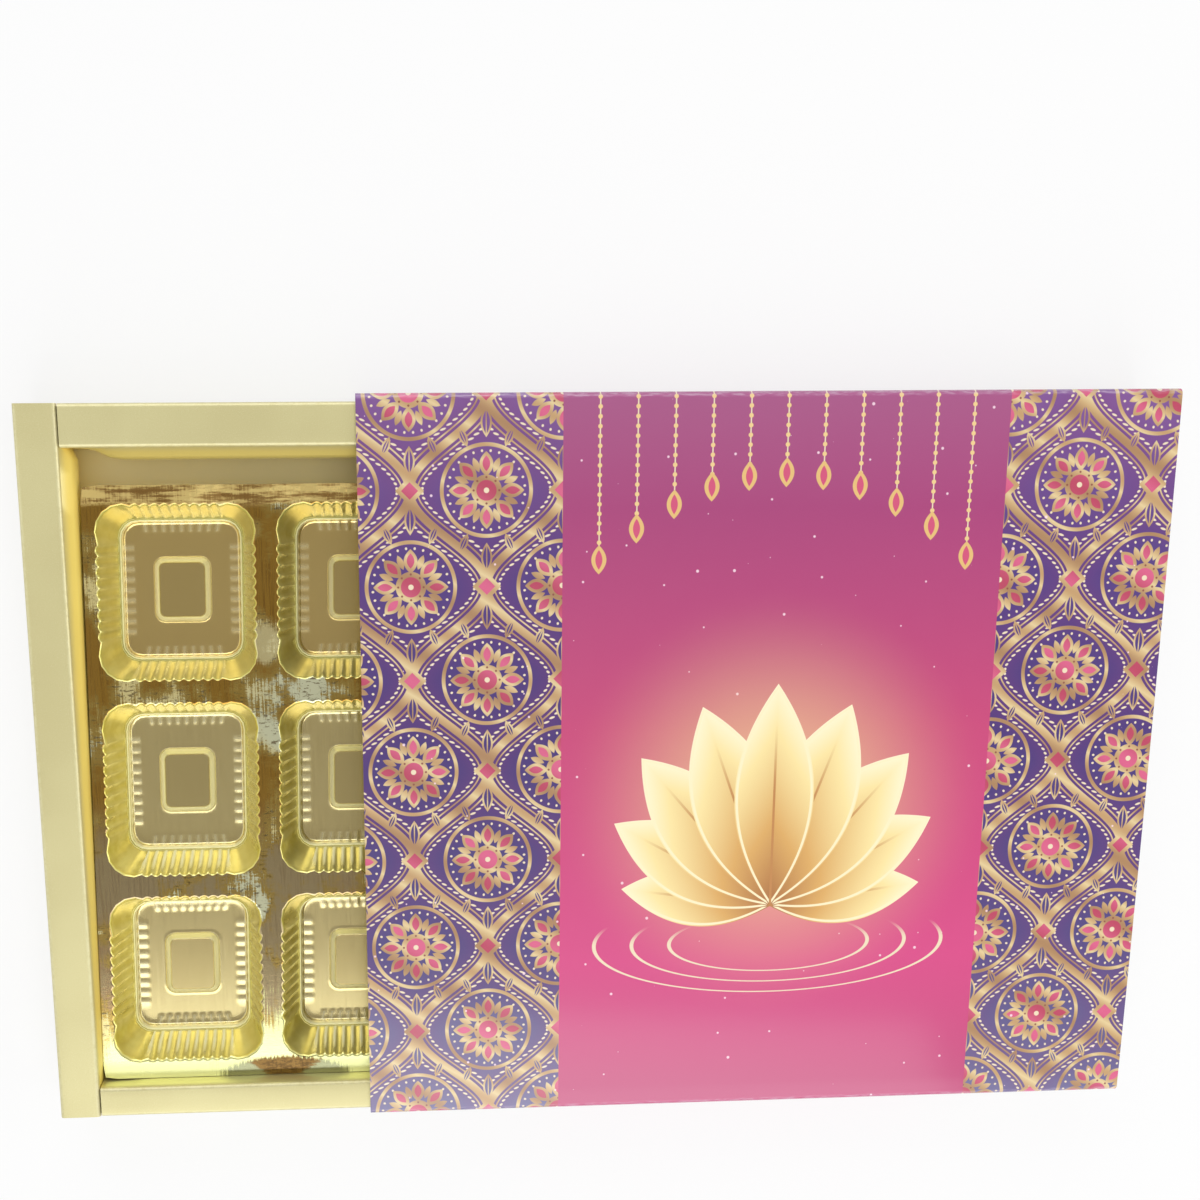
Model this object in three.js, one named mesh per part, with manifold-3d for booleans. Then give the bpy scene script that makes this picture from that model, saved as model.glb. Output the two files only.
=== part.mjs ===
// Chocolate box with a sliding sleeve. A printed board sleeve, open at both ends, runs over a board
// tray with hollow folded walls. The tray carries a formed plastic sheet with a grid of fluted cells.
// Millimetres, +Z up. The origin is the centre of the sleeve's underside, X runs along the slide,
// and the tray draws out towards -X.
import * as THREE from "three";
import { mergeVertices } from "three/addons/utils/BufferGeometryUtils.js";
import Module from "manifold-3d";

// Cells of the formed sheet. The whole box takes its size from them.
const cellColumns = 4;
const cellRows = 3;
const cellLength = 35.4; // mouth along X
const cellWidth = 40.6; // mouth along Y
const cellDepth = 13.5; // flange down to the cell floor
const cellGapX = 5.0; // flange left between two cells
const cellGapY = 5.4;
const cellCornerRadius = 6.0; // at the mouth
const upperDepth = 11.0; // fluted wall, from the flange down to the shoulder
const upperInset = 3.4; // how far that wall leans in
const shoulderWidth = 0.9; // flat ring between the fluted wall and the basin
const basinInset = 0.8; // how far the basin's wall leans in
const flutesPerSide = 9;
const fluteDepth = 0.5; // crest to cusp
const flutePlainRun = 1.6; // smooth wall between the corner round and the first flute
const bossLength = 13.0; // raised pad on the cell floor, along X
const bossWidth = 15.4;
const bossRise = 1.4;
const bossInset = 1.1; // how far the pad's sides lean in
const bossCornerRadius = 2.2;

// Formed sheet around the cells
const insertSheet = 0.5; // plastic thickness
const flangeMarginX = 2.9; // flange outside the outermost cells
const flangeMarginY = 4.4;
const flangeCornerRadius = 1.5;

// Board tray
const trayBoard = 0.6;
const rimWidth = 9.4; // hollow walls at the back and the ends, outer face to inner face
const frontRimWidth = 7.2; // the near long wall is slimmer
const trayFoldRadius = 0.9; // outside of a fold
const headroom = 5.0; // rim above the flange
const tuckTabLength = 18; // end of a long wall's outer panel, folded into an end wall
const insertEndGap = 1.9; // play of the insert at each end wall
const insertNearGap = 0.4; // the insert has slid against the near long wall
const insertFarGap = 6.6; // and leaves the tray floor bare along the far one

// Board sleeve
const sleeveBoard = 0.6;
const sleeveFoldRadius = 1.3; // outside of a fold
const glueFlapWidth = 15; // glued up the inside of the back panel

// Fits
const slideClearance = 0.5; // tray to sleeve, at the sides and on top
const seatGap = 0.1; // hairline where one piece rests on another
const cornerSlit = 0.3; // open slit where two tray walls meet
const trayDrawn = 74; // how far the tray stands out of the sleeve

// Facets
const foldSteps = 4;
const fluteCornerSteps = 3;
const basinCornerSteps = 4;
const bossCornerSteps = 2;
const cutOverrun = 1; // a cutting solid runs this far past what it cuts

// Worked out from the sizes above
const insertLength = cellColumns * cellLength + (cellColumns - 1) * cellGapX + 2 * flangeMarginX;
const insertWidth = cellRows * cellWidth + (cellRows - 1) * cellGapY + 2 * flangeMarginY;
const insideLength = insertLength + 2 * insertEndGap;
const insideWidth = insertWidth + insertNearGap + insertFarGap;
const trayLength = insideLength + 2 * rimWidth;
const trayWidth = insideWidth + frontRimWidth + rimWidth;
const wallBase = trayBoard + seatGap; // the walls stand on the tray floor
const flangeTop = trayBoard + seatGap + insertSheet + cellDepth; // above the tray's underside
const trayHeight = flangeTop + headroom;
const sleeveLength = trayLength;
const sleeveWidth = trayWidth + 2 * slideClearance + 3 * sleeveBoard; // two panels and the glue flap
const sleeveHeight = trayHeight + seatGap + slideClearance + 2 * sleeveBoard;

const wasm = await Module();
wasm.setup();

// A closed three.js geometry as a solid that can be joined and cut.
function solidOf(geometry) {
  const bare = geometry.index ? geometry.clone() : geometry;
  bare.deleteAttribute("normal");
  bare.deleteAttribute("uv");
  const merged = mergeVertices(bare, 1e-4);
  return new wasm.Manifold(
    new wasm.Mesh({
      numProp: 3,
      vertProperties: new Float32Array(merged.attributes.position.array),
      triVerts: new Uint32Array(merged.index.array),
    }),
  );
}

// A joined or cut solid as a three.js geometry.
function geometryOf(solid) {
  const mesh = solid.getMesh();
  const geometry = new THREE.BufferGeometry();
  geometry.setAttribute("position", new THREE.BufferAttribute(mesh.vertProperties, 3));
  geometry.setIndex(new THREE.BufferAttribute(mesh.triVerts, 1));
  geometry.computeVertexNormals();
  return geometry;
}

// A shape pushed along Z from one height to another.
function prismUp(shape, low, high) {
  return new THREE.ExtrudeGeometry(shape, {
    depth: high - low,
    bevelEnabled: false,
    curveSegments: foldSteps,
  }).translate(0, 0, low);
}

// A section drawn in Y and Z, pushed along X and centred on it.
function prismAlongX(section, length) {
  const turn = new THREE.Matrix4().makeBasis(
    new THREE.Vector3(0, 1, 0),
    new THREE.Vector3(0, 0, 1),
    new THREE.Vector3(1, 0, 0),
  );
  return prismUp(section, -length / 2, length / 2).applyMatrix4(turn);
}

// A section drawn in X and Z, pushed along Y and centred on it.
function prismAlongY(section, length) {
  const turn = new THREE.Matrix4().makeBasis(
    new THREE.Vector3(1, 0, 0),
    new THREE.Vector3(0, 0, 1),
    new THREE.Vector3(0, -1, 0),
  );
  return prismUp(section, -length / 2, length / 2).applyMatrix4(turn);
}

// A box between two corners.
function boxBetween(low, high) {
  const size = high.map((value, axis) => value - low[axis]);
  const middle = high.map((value, axis) => (value + low[axis]) / 2);
  return new THREE.BoxGeometry(...size).translate(...middle);
}

// A rectangle with round corners, from its lower left corner.
function roundedRectangle(left, bottom, width, height, radius) {
  const right = left + width;
  const top = bottom + height;
  const shape = new THREE.Shape();
  shape.absarc(right - radius, bottom + radius, radius, -Math.PI / 2, 0);
  shape.absarc(right - radius, top - radius, radius, 0, Math.PI / 2);
  shape.absarc(left + radius, top - radius, radius, Math.PI / 2, Math.PI);
  shape.absarc(left + radius, bottom + radius, radius, Math.PI, 1.5 * Math.PI);
  shape.closePath();
  return shape;
}

// Sleeve: four panels folded round the tray, closed by a flap glued inside the back panel.
function sleeveGeometry() {
  const half = sleeveWidth / 2;
  const section = roundedRectangle(-half, 0, sleeveWidth, sleeveHeight, sleeveFoldRadius);
  const front = -half + sleeveBoard;
  const back = half - sleeveBoard;
  const flapFace = back - sleeveBoard;
  const ceiling = sleeveHeight - sleeveBoard;
  const flapTop = Math.min(sleeveBoard + glueFlapWidth, ceiling);
  const bore = new THREE.Path();
  bore.moveTo(front, sleeveBoard);
  bore.lineTo(flapFace, sleeveBoard);
  bore.lineTo(flapFace, flapTop);
  bore.lineTo(back, flapTop);
  bore.lineTo(back, ceiling);
  bore.lineTo(front, ceiling);
  bore.closePath();
  section.holes.push(bore);
  return prismAlongX(section, sleeveLength);
}

// Section of a hollow wall: outer panel at 0, rim on top, inner panel at the wall's width.
function wallSection(width) {
  const outer = trayFoldRadius;
  const inner = Math.max(trayFoldRadius - trayBoard, trayBoard / 10);
  const underRim = trayHeight - trayBoard;
  const section = new THREE.Shape();
  section.moveTo(0, wallBase);
  section.lineTo(trayBoard, wallBase);
  section.absarc(trayBoard + inner, underRim - inner, inner, Math.PI, Math.PI / 2, true);
  section.absarc(width - trayBoard - inner, underRim - inner, inner, Math.PI / 2, 0, true);
  section.lineTo(width - trayBoard, wallBase);
  section.lineTo(width, wallBase);
  section.absarc(width - outer, trayHeight - outer, outer, 0, Math.PI / 2);
  section.absarc(outer, trayHeight - outer, outer, Math.PI / 2, Math.PI);
  section.closePath();
  return section;
}

// Plan of a long wall's outer panel: it runs on past the channel and turns a tab into each end wall.
function tuckTabPlan() {
  const tip = trayLength / 2 - trayBoard - cornerSlit;
  const outer = trayFoldRadius;
  const inner = Math.max(trayFoldRadius - trayBoard, trayBoard / 10);
  const plan = new THREE.Shape();
  plan.absarc(tip - outer, outer, outer, -Math.PI / 2, 0);
  plan.lineTo(tip, tuckTabLength);
  plan.lineTo(tip - trayBoard, tuckTabLength);
  plan.absarc(tip - trayBoard - inner, trayBoard + inner, inner, 0, -Math.PI / 2, true);
  plan.absarc(-tip + trayBoard + inner, trayBoard + inner, inner, -Math.PI / 2, -Math.PI, true);
  plan.lineTo(-tip + trayBoard, tuckTabLength);
  plan.lineTo(-tip, tuckTabLength);
  plan.absarc(-tip + outer, outer, outer, Math.PI, 1.5 * Math.PI);
  plan.closePath();
  return plan;
}

// Long wall with its outer face on Y = 0 and its hollow towards +Y.
function longWallGeometry(width) {
  const channelLength = trayLength - 2 * (rimWidth + cornerSlit);
  const channel = solidOf(prismAlongX(wallSection(width), channelLength));
  const tabTop = trayHeight - trayBoard - cornerSlit;
  const panel = solidOf(prismUp(tuckTabPlan(), wallBase, tabTop));
  return geometryOf(channel.add(panel));
}

// End wall with its outer face on X = 0 and its hollow towards +X. The inner panel stops short of
// the long walls' outer panels, which pass it on their way into the hollow.
function endWallGeometry() {
  let wall = solidOf(prismAlongY(wallSection(rimWidth), trayWidth));
  for (const side of [-1, 1]) {
    const edge = side * (trayWidth / 2 - trayBoard - cornerSlit);
    const past = side * (trayWidth / 2 + cutOverrun);
    const low = [trayBoard + cornerSlit, Math.min(edge, past), wallBase - cutOverrun];
    const high = [rimWidth + cutOverrun, Math.max(edge, past), trayHeight - trayBoard];
    wall = wall.subtract(solidOf(boxBetween(low, high)));
  }
  return geometryOf(wall);
}

// Points round a quarter of a circle, from a start angle.
function cornerPoints(centreX, centreY, radius, start, steps) {
  return Array.from({ length: steps + 1 }, (_, step) => {
    const angle = start + (step / steps) * (Math.PI / 2);
    return new THREE.Vector2(centreX + radius * Math.cos(angle), centreY + radius * Math.sin(angle));
  });
}

// Outline of a cell at one level, round the origin. With flutes, each side carries scallops whose
// crests lie on the outline and whose cusps stand in from it.
function cellOutline(length, width, radius, steps, flutes = 0) {
  const sides = [
    { across: length / 2, along: width / 2 },
    { across: width / 2, along: length / 2 },
  ];
  const points = [];
  for (let quarter = 0; quarter < 4; quarter++) {
    const { across, along } = sides[quarter % 2];
    const turn = (quarter * Math.PI) / 2;
    const side = cornerPoints(across - radius, along - radius, radius, 0, steps);
    const run = 2 * (along - radius - flutePlainRun);
    const scallops = Array.from({ length: flutes ? 2 * flutes + 1 : 0 }, (_, mark) => {
      const cusp = mark % 2 === 0 ? fluteDepth : 0;
      return new THREE.Vector2(across - cusp, -run / 2 + (run * mark) / (2 * flutes));
    });
    const origin = new THREE.Vector2();
    points.push(...[...scallops, ...side].map((point) => point.rotateAround(origin, turn)));
  }
  return points;
}

// A closed solid through outlines of equal point counts, lowest first.
function loft(levels) {
  const count = levels[0].outline.length;
  const position = levels.flatMap(({ outline, z }) => outline.flatMap(({ x, y }) => [x, y, z]));
  const index = [];
  for (let level = 0; level + 1 < levels.length; level++) {
    for (let point = 0; point < count; point++) {
      const a = level * count + point;
      const b = level * count + ((point + 1) % count);
      index.push(a, b, b + count, a, b + count, a + count);
    }
  }
  const lastRing = (levels.length - 1) * count;
  for (const [a, b, c] of THREE.ShapeUtils.triangulateShape(levels[0].outline, [])) {
    index.push(a, c, b);
  }
  for (const [a, b, c] of THREE.ShapeUtils.triangulateShape(levels.at(-1).outline, [])) {
    index.push(lastRing + a, lastRing + b, lastRing + c);
  }
  const geometry = new THREE.BufferGeometry();
  geometry.setAttribute("position", new THREE.Float32BufferAttribute(position, 3));
  geometry.setIndex(index);
  return geometry;
}

// One skin of a cell, below a flange face at Z = 0 and grown outwards by the sheet for the underside:
// the fluted wall, the basin under its shoulder, and the pad that stands on the floor.
function cellSkin(grow, mouth) {
  const level = (inset, radius, steps, flutes) =>
    cellOutline(
      cellLength - 2 * inset + 2 * grow,
      cellWidth - 2 * inset + 2 * grow,
      Math.max(radius + grow, trayBoard),
      steps,
      flutes,
    );
  const footRadius = cellCornerRadius - upperInset / 2;
  const basinTop = upperInset + shoulderWidth;
  const basinRadius = footRadius - shoulderWidth;
  const mouthOutline = level(0, cellCornerRadius, fluteCornerSteps, flutesPerSide);
  const upper = loft([
    { outline: level(upperInset, footRadius, fluteCornerSteps, flutesPerSide), z: -upperDepth - grow },
    { outline: mouthOutline, z: -grow },
    { outline: mouthOutline, z: mouth },
  ]);
  const basin = loft([
    { outline: level(basinTop + basinInset, basinRadius, basinCornerSteps), z: -cellDepth - grow },
    { outline: level(basinTop, basinRadius, basinCornerSteps), z: -upperDepth - grow },
    { outline: level(basinTop, basinRadius, basinCornerSteps), z: -upperDepth + insertSheet },
  ]);
  const padOutline = (inset) =>
    cellOutline(
      bossLength - 2 * inset - 2 * grow,
      bossWidth - 2 * inset - 2 * grow,
      Math.max(bossCornerRadius - grow, trayBoard),
      bossCornerSteps,
    );
  const pad = loft([
    { outline: padOutline(0), z: -cellDepth - grow - cutOverrun },
    { outline: padOutline(0), z: -cellDepth - grow },
    { outline: padOutline(bossInset), z: -cellDepth - grow + bossRise },
  ]);
  return solidOf(upper).add(solidOf(basin)).subtract(solidOf(pad));
}

// Centre of a cell in the insert's own plan.
function cellCentre(column, row) {
  return [
    (column - (cellColumns - 1) / 2) * (cellLength + cellGapX),
    (row - (cellRows - 1) / 2) * (cellWidth + cellGapY),
  ];
}

// Formed sheet with its flange's upper face at Z = 0: the cups hang under the flange, and the
// cavities are cut through both.
function insertGeometry() {
  const plan = roundedRectangle(
    -insertLength / 2,
    -insertWidth / 2,
    insertLength,
    insertWidth,
    flangeCornerRadius,
  );
  const cup = geometryOf(cellSkin(insertSheet, -insertSheet / 2));
  const cavity = geometryOf(cellSkin(0, cutOverrun));
  let sheet = solidOf(prismUp(plan, -insertSheet, 0));
  for (let column = 0; column < cellColumns; column++) {
    for (let row = 0; row < cellRows; row++) {
      const place = [...cellCentre(column, row), 0];
      sheet = sheet.add(solidOf(cup.clone().translate(...place)));
      sheet = sheet.subtract(solidOf(cavity.clone().translate(...place)));
    }
  }
  return geometryOf(sheet);
}

const printedBoard = new THREE.MeshStandardMaterial({ color: 0x7a3f8c, roughness: 0.3, metalness: 0 });
const pearlBoard = new THREE.MeshStandardMaterial({ color: 0xd8d09a, roughness: 0.45, metalness: 0.2 });
const goldSheet = new THREE.MeshStandardMaterial({ color: 0xd9b648, roughness: 0.2, metalness: 0.9 });

function piece(name, geometry, material) {
  const mesh = new THREE.Mesh(geometry, material);
  mesh.name = name;
  return mesh;
}

// Tray pieces in the tray's own frame, with its underside on Z = 0 and its plan centred.
function trayGroup() {
  const tray = new THREE.Group();
  const floorPlan = [trayLength / 2, trayWidth / 2];
  const floor = boxBetween([-floorPlan[0], -floorPlan[1], 0], [...floorPlan, trayBoard]);
  tray.add(piece("tray_floor", floor, pearlBoard));

  const longWalls = [
    { name: "long_wall_front", width: frontRimWidth, turn: 0 },
    { name: "long_wall_back", width: rimWidth, turn: Math.PI },
  ];
  const endWalls = [
    { name: "end_wall_left", turn: 0 },
    { name: "end_wall_right", turn: Math.PI },
  ];
  for (const { name, width, turn } of longWalls) {
    const wall = piece(name, longWallGeometry(width).translate(0, -trayWidth / 2, 0), pearlBoard);
    wall.rotation.z = turn;
    tray.add(wall);
  }
  for (const { name, turn } of endWalls) {
    const wall = piece(name, endWallGeometry().translate(-trayLength / 2, 0, 0), pearlBoard);
    wall.rotation.z = turn;
    tray.add(wall);
  }

  const insert = piece("cavity_insert", insertGeometry(), goldSheet);
  const insertFront = -trayWidth / 2 + frontRimWidth + insertNearGap;
  insert.position.set(0, insertFront + insertWidth / 2, flangeTop);
  tray.add(insert);
  return tray;
}

const box = new THREE.Group();
box.add(piece("sleeve", sleeveGeometry(), printedBoard));
const tray = trayGroup();
tray.position.set(-trayDrawn, -sleeveBoard / 2, sleeveBoard + seatGap);
box.add(tray);

export default box;
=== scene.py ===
import math

import bmesh
import bpy
import numpy as np
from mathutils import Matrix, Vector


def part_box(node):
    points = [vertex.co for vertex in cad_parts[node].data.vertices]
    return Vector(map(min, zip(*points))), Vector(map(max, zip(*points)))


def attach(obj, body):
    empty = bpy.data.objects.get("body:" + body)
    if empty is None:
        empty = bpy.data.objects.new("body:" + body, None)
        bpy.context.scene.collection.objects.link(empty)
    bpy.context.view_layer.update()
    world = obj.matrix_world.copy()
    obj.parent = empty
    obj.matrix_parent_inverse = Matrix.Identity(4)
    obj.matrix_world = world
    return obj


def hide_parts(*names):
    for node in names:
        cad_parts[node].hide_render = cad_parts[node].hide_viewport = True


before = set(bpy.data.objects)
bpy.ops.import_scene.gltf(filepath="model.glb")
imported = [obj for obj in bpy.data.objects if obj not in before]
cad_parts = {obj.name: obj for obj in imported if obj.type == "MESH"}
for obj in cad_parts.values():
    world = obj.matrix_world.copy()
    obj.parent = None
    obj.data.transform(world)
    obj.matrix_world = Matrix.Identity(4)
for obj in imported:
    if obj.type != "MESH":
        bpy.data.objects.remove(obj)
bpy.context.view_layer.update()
mm = 0.001
sameMark = 1e-7  # lengths nearer than this, in metres, count as one
tiny = 1e-9
print("frame loaded:", len(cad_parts), "pieces")


class Wire:  # a socket in a node tree, so that shader maths reads as plain Python
    def __init__(self, tree, socket=None):
        self.tree = tree
        self.socket = socket

    def feed(self, node, inputs):
        for key, value in inputs.items():
            if isinstance(value, Wire):
                self.tree.links.new(value.socket, node.inputs[key])
            else:
                node.inputs[key].default_value = value

    def node(self, kind, settings=None, inputs=None, out=0):
        made = self.tree.nodes.new(kind)
        for key, value in (settings or {}).items():
            if key == "stops":
                setStops(made.color_ramp.elements, value)
            else:
                setattr(made, key, value)
        self.feed(made, inputs or {})
        return Wire(self.tree, made.outputs[out])

    def other(self, out):  # another output of the same node
        return Wire(self.tree, self.socket.node.outputs[out])

    def maths(self, operation, *values):
        return self.node("ShaderNodeMath", {"operation": operation}, dict(enumerate(values)))

    def __add__(self, value):
        return self.maths("ADD", self, value)

    def __radd__(self, value):
        return self.maths("ADD", value, self)

    def __sub__(self, value):
        return self.maths("SUBTRACT", self, value)

    def __rsub__(self, value):
        return self.maths("SUBTRACT", value, self)

    def __mul__(self, value):
        return self.maths("MULTIPLY", self, value)

    def __rmul__(self, value):
        return self.maths("MULTIPLY", value, self)

    def __truediv__(self, value):
        return self.maths("DIVIDE", self, value)

    def __abs__(self):
        return self.maths("ABSOLUTE", self)

    def __lt__(self, value):
        return self.maths("LESS_THAN", self, value)


def setStops(elements, stops):
    while len(elements) < len(stops):
        elements.new(1)
    for element, (place, colour) in zip(elements, stops):
        element.position = place
        element.color = colour


def ink(red, green, blue):  # a colour as it looks on screen, from 0 to 255
    shares = [level / 255 for level in (red, green, blue)]
    linear = [s / 12.92 if s <= 0.04045 else ((s + 0.055) / 1.055) ** 2.4 for s in shares]
    return (*linear, 1)


def ease(value, low, high):  # 0 at low, 1 at high, soft between
    return value.node("ShaderNodeMapRange", {"interpolation_type": "SMOOTHSTEP"}, {0: value, 1: low, 2: high})


def within(distance, soft=0.08):  # 1 where the distance to an edge is below 0
    return ease(distance, soft, -soft)


def least(first, second):
    return first.maths("MINIMUM", first, second)


def most(first, second):
    return first.maths("MAXIMUM", first, second)


def fold(value, half):  # back and forth between 0 and half
    return value.maths("PINGPONG", value, half)


def reach(first, second):  # distance from the origin
    square = first * first + second * second
    return square.maths("SQRT", square)


def layInk(mask, under, over):  # one colour over another where the mask is 1
    return mask.node("ShaderNodeMix", {"data_type": "RGBA"}, {0: mask, 6: under, 7: over}, 2)


def ramp(value, stops):
    return value.node("ShaderNodeValToRGB", {"stops": stops}, {0: value})


def stretched(place, factors):
    return place.node("ShaderNodeVectorMath", {"operation": "MULTIPLY"}, {0: place, 1: factors})


def grain(place, size, detail=2.0, rough=0.5):  # noise with lumps of about that size
    inputs = {"Vector": place, "Scale": 1 / size, "Detail": detail, "Roughness": rough}
    return place.node("ShaderNodeTexNoise", {}, inputs)


def relief(height, depth, strength=1.0):  # bump from a height of 0 to 1
    inputs = {"Height": height, "Distance": depth, "Strength": strength}
    return height.node("ShaderNodeBump", {}, inputs)


def newSurface(name):
    material = bpy.data.materials.new(name)
    material.use_nodes = True
    return material, Wire(material.node_tree), material.node_tree.nodes["Principled BSDF"]


def placeOf(root):  # place on the piece in millimetres, at rest
    place = root.node("ShaderNodeTexCoord", {}, {}, "Object")
    return stretched(place, (1 / mm, 1 / mm, 1 / mm))


# Boards

sharpAngle = math.radians(40)  # a steeper edge of a board is crisp
onFold = -1  # stands for a panel's number on a fold


def arch(share):  # 0 at both ends, 1 halfway
    return 4 * share * (1 - share)


def newSpan(start, size, point, heading, panel):
    return {"from": start, "to": start + size, "point": point, "heading": heading, "panel": panel}


def foldedLine(start, heading, panels, radius):  # a board seen edge on, folded to the right between panels
    spans = []
    point = np.array(start, float)
    heading = np.array(heading, float)
    length = 0.0
    arc = radius * math.pi / 2
    for index, panel in enumerate(panels):
        goesOn = index + 1 < len(panels)
        flat = panel - radius * ((index > 0) + goesOn)
        spans.append(newSpan(length, flat, point, heading, index))
        point = point + heading * flat
        length += flat
        if goesOn:
            spans.append(newSpan(length, arc, point, heading, onFold))
            right = np.array((heading[1], -heading[0]))
            point = point + (heading + right) * radius
            heading = right
            length += arc
    return spans


def stations(spans, step, foldSteps, extra=()):  # lengths along the board where it gets a row of points
    marks = list(extra)
    for span in spans:
        size = span["to"] - span["from"]
        count = foldSteps if span["panel"] == onFold else max(1, math.ceil(size / step))
        marks += list(np.linspace(span["from"], span["to"], count + 1))
    marks.sort()
    return [mark for index, mark in enumerate(marks) if index == 0 or mark - marks[index - 1] > sameMark]


def alongLine(spans, radius, length):  # point, outward direction, panel and place on that panel from 0 to 1
    span = next((span for span in spans if length <= span["to"] + tiny), spans[-1])
    done = length - span["from"]
    heading = span["heading"]
    left = np.array((-heading[1], heading[0]))
    if span["panel"] != onFold:
        share = done / (span["to"] - span["from"])
        return span["point"] + heading * done, left, span["panel"], share
    angle = done / radius
    outward = left * math.cos(angle) + heading * math.sin(angle)
    return span["point"] - left * radius + outward * radius, outward, onFold, 0.0


def boardPiece(name, outer, outward, present, blank, thickness):  # slots: face 0, back 1, cut edges 2
    rows, columns = outer.shape[:2]
    back = rows * columns
    points = np.concatenate([outer.reshape(-1, 3), (outer - outward * thickness).reshape(-1, 3)])
    faces = []
    slots = []
    for row in range(rows - 1):
        for column in range(columns - 1):
            if not present[row, column]:
                continue
            a = row * columns + column
            corners = (a, a + 1, a + columns + 1, a + columns)
            beside = ((row - 1, column), (row, column + 1), (row + 1, column), (row, column - 1))
            faces.append(corners)
            faces.append(tuple(corner + back for corner in reversed(corners)))
            slots += [0, 1]
            for side, (r, c) in enumerate(beside):
                if 0 <= r < rows - 1 and 0 <= c < columns - 1 and present[r, c]:
                    continue
                first, second = corners[side], corners[(side + 1) % 4]
                faces.append((second, first, first + back, second + back))
                slots.append(2)
    used = sorted({corner for face in faces for corner in face})
    renumber = {corner: index for index, corner in enumerate(used)}
    mesh = bpy.data.meshes.new(name)
    mesh.from_pydata(points[used].tolist(), [], [tuple(renumber[c] for c in face) for face in faces])
    mesh.polygons.foreach_set("material_index", slots)
    mesh.polygons.foreach_set("use_smooth", [True] * len(faces))
    mesh.set_sharp_from_angle(angle=sharpAngle)
    places = np.concatenate([blank.reshape(-1, 3)] * 2)[used]
    mesh.attributes.new("blankPlace", "FLOAT_VECTOR", "POINT").data.foreach_set("vector", places.ravel())
    return newPiece(name, mesh)


def blankOf(root):  # place on the flat blank in millimetres, the same however the board is folded
    flat = root.node("ShaderNodeAttribute", {"attribute_name": "blankPlace"}, {}, "Vector")
    return stretched(flat, (1 / mm, 1 / mm, 1 / mm))


def newPiece(name, mesh):
    piece = bpy.data.objects.new(name, mesh)
    bpy.context.scene.collection.objects.link(piece)
    return piece


def dress(piece, materials, body, node):
    for material in materials:
        piece.data.materials.append(material)
    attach(piece, body)
    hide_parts(node)


# Sleeve

sleeveForm = {
    "board": 0.6 * mm,
    "foldRadius": 1.3 * mm,
    "glueFlap": 15 * mm,
    "glueLine": 0.05 * mm,  # between the flap and the back panel
    "backEdge": 0.2 * mm,  # back panel's cut edge above the table
    "bows": (0, 0, 0.25 * mm, 0.5 * mm, 0.25 * mm),  # flap, bottom, front, top, back
    "topPanel": 3,  # counted from the flap
    "flare": (0.7, 0.3),  # share of a bow halfway along, and what the open ends add
    "panelStep": 4 * mm,
    "foldSteps": 8,
    "lengthSteps": 46,
}


def makeSleeve():
    form = sleeveForm
    low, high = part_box("sleeve")
    height = high.z - low.z
    flapFace = high.y - form["board"] - form["glueLine"]
    flap = form["board"] + form["glueFlap"]
    panels = (flap, flapFace - low.y, height, high.y - low.y, height - form["backEdge"])
    radius = form["foldRadius"]
    spans = foldedLine((flapFace, low.z + flap), (0, -1), panels, radius)
    marks = stations(spans, form["panelStep"], form["foldSteps"])
    lengthwise = np.linspace(low.x, high.x, form["lengthSteps"] + 1)
    halfway, ends = form["flare"]
    flare = halfway + ends * (2 * lengthwise / (high.x - low.x)) ** 2
    topSpan = next(span for span in spans if span["panel"] == form["topPanel"])
    topMiddle = (topSpan["from"] + topSpan["to"]) / 2
    outer = np.zeros((len(marks), len(lengthwise), 3))
    outward = np.zeros_like(outer)
    blank = np.zeros_like(outer)
    for row, mark in enumerate(marks):
        point, normal, panel, share = alongLine(spans, radius, mark)
        bow = 0 if panel == onFold else form["bows"][panel] * arch(share) * flare
        outer[row, :, 0] = lengthwise
        outer[row, :, 1] = point[0] + normal[0] * bow
        outer[row, :, 2] = point[1] + normal[1] * bow
        outward[row, :, 1:] = normal
        blank[row, :, 0] = lengthwise
        blank[row, :, 1] = mark - topMiddle
    present = np.ones((len(marks) - 1, len(lengthwise) - 1), bool)
    piece = boardPiece("sleeveBoard", outer, outward, present, blank, form["board"])
    folds = [((span["from"] + span["to"]) / 2 - topMiddle) / mm for span in spans if span["panel"] == onFold]
    dress(piece, [printedBoard(folds), boardLining(), boardCut()], "sleeve", "sleeve")


# Print on the sleeve

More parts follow.
